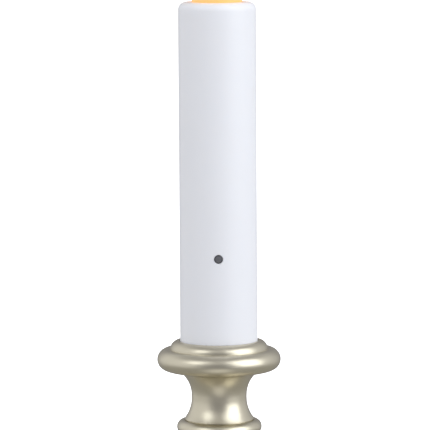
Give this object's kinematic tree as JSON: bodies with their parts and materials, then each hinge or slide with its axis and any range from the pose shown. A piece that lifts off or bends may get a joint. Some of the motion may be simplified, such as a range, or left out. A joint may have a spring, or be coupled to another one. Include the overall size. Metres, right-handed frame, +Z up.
{
  "type": "battery candle with candlestick base",
  "caption": "Battery-powered window candle: white candle sleeve with amber flame bulb and light sensor on a turned pewter-finish base; sleeve lifts off, slide switch underneath.",
  "frame": {"origin": "centre of the resting plane, under the candle's axis", "axes": "+Z up along the candle, the light sensor faces -Y"},
  "size_m": [0.076, 0.076, 0.2387],
  "materials": {
    "pewter_plate": "satin pewter plate on cast metal",
    "sleeve_plastic": "cool white moulded plastic, satin",
    "bulb_plastic": "amber translucent moulded plastic, lit from inside",
    "window_plastic": "smoked clear plastic",
    "clip_plastic": "natural nylon",
    "cradle_plastic": "white moulded plastic",
    "cover_plastic": "black moulded plastic, fine texture",
    "slider_plastic": "black nylon",
    "foot_rubber": "black rubber",
    "grommet_rubber": "black rubber",
    "tube_brass": "yellow zinc on threaded steel",
    "nut_brass": "plain brass",
    "zinc_steel": "bright zinc plate",
    "ballast_steel": "bare pressed steel",
    "switch_steel": "tinned sheet steel",
    "insulator_laminate": "brown paper laminate",
    "lug_brass": "tinned brass",
    "cell_jacket": "printed foil jacket with bare ends",
    "contact_steel": "nickel-plated spring steel",
    "board_laminate": "green lacquered glass laminate",
    "chip_resin": "black moulded resin",
    "photocell_ceramic": "ceramic disc with a printed track under clear resin",
    "resistor_ceramic": "beige lacquer with colour rings",
    "capacitor_film": "shrunk plastic film over aluminium",
    "led_epoxy": "clear epoxy, amber glow",
    "white_wire": "white soft plastic",
    "red_black_wire": "red and black soft plastic",
    "yellow_wire": "yellow soft plastic"
  },
  "bodies": {
    "base": {"foot_shell": "pewter_plate", "neck_column": "pewter_plate", "candle_cup": "pewter_plate", "tie_tube": "tube_brass", "tie_nuts": "nut_brass", "tie_washers": "zinc_steel", "wire_grommet": "grommet_rubber", "ballast_ring": "ballast_steel", "bottom_cover": "cover_plastic", "cover_screws": "zinc_steel", "rubber_feet": "foot_rubber", "switch_can": "switch_steel", "switch_insulator": "insulator_laminate", "switch_lugs": "lug_brass", "switch_screws": "zinc_steel", "battery_cradle": "cradle_plastic", "lower_cell": "cell_jacket", "upper_cell": "cell_jacket", "negative_spring": "contact_steel", "positive_contact": "contact_steel", "control_board": "board_laminate", "board_screws": "zinc_steel", "control_chip": "chip_resin", "photocell": "photocell_ceramic", "transistor": "chip_resin", "resistors": "resistor_ceramic", "capacitor": "capacitor_film", "led_board": "board_laminate", "flame_led": "led_epoxy", "switch_wires": "white_wire", "battery_wires": "red_black_wire", "led_wires": "yellow_wire"},
    "sleeve": {"candle_sleeve": "sleeve_plastic", "flame_bulb": "bulb_plastic", "bulb_clip": "clip_plastic", "sensor_window": "window_plastic"},
    "slider": {"switch_slider": "slider_plastic"}
  },
  "joints": [
    {"name": "sleeve_lift", "type": "slide", "parent": "base", "child": "sleeve", "axis": [0, 0, 1], "range_m": [0, 0.15]},
    {"name": "switch_slide", "type": "slide", "parent": "base", "child": "slider", "axis": [1, 0, 0], "range_m": [-0.002, 0.002]}
  ]
}
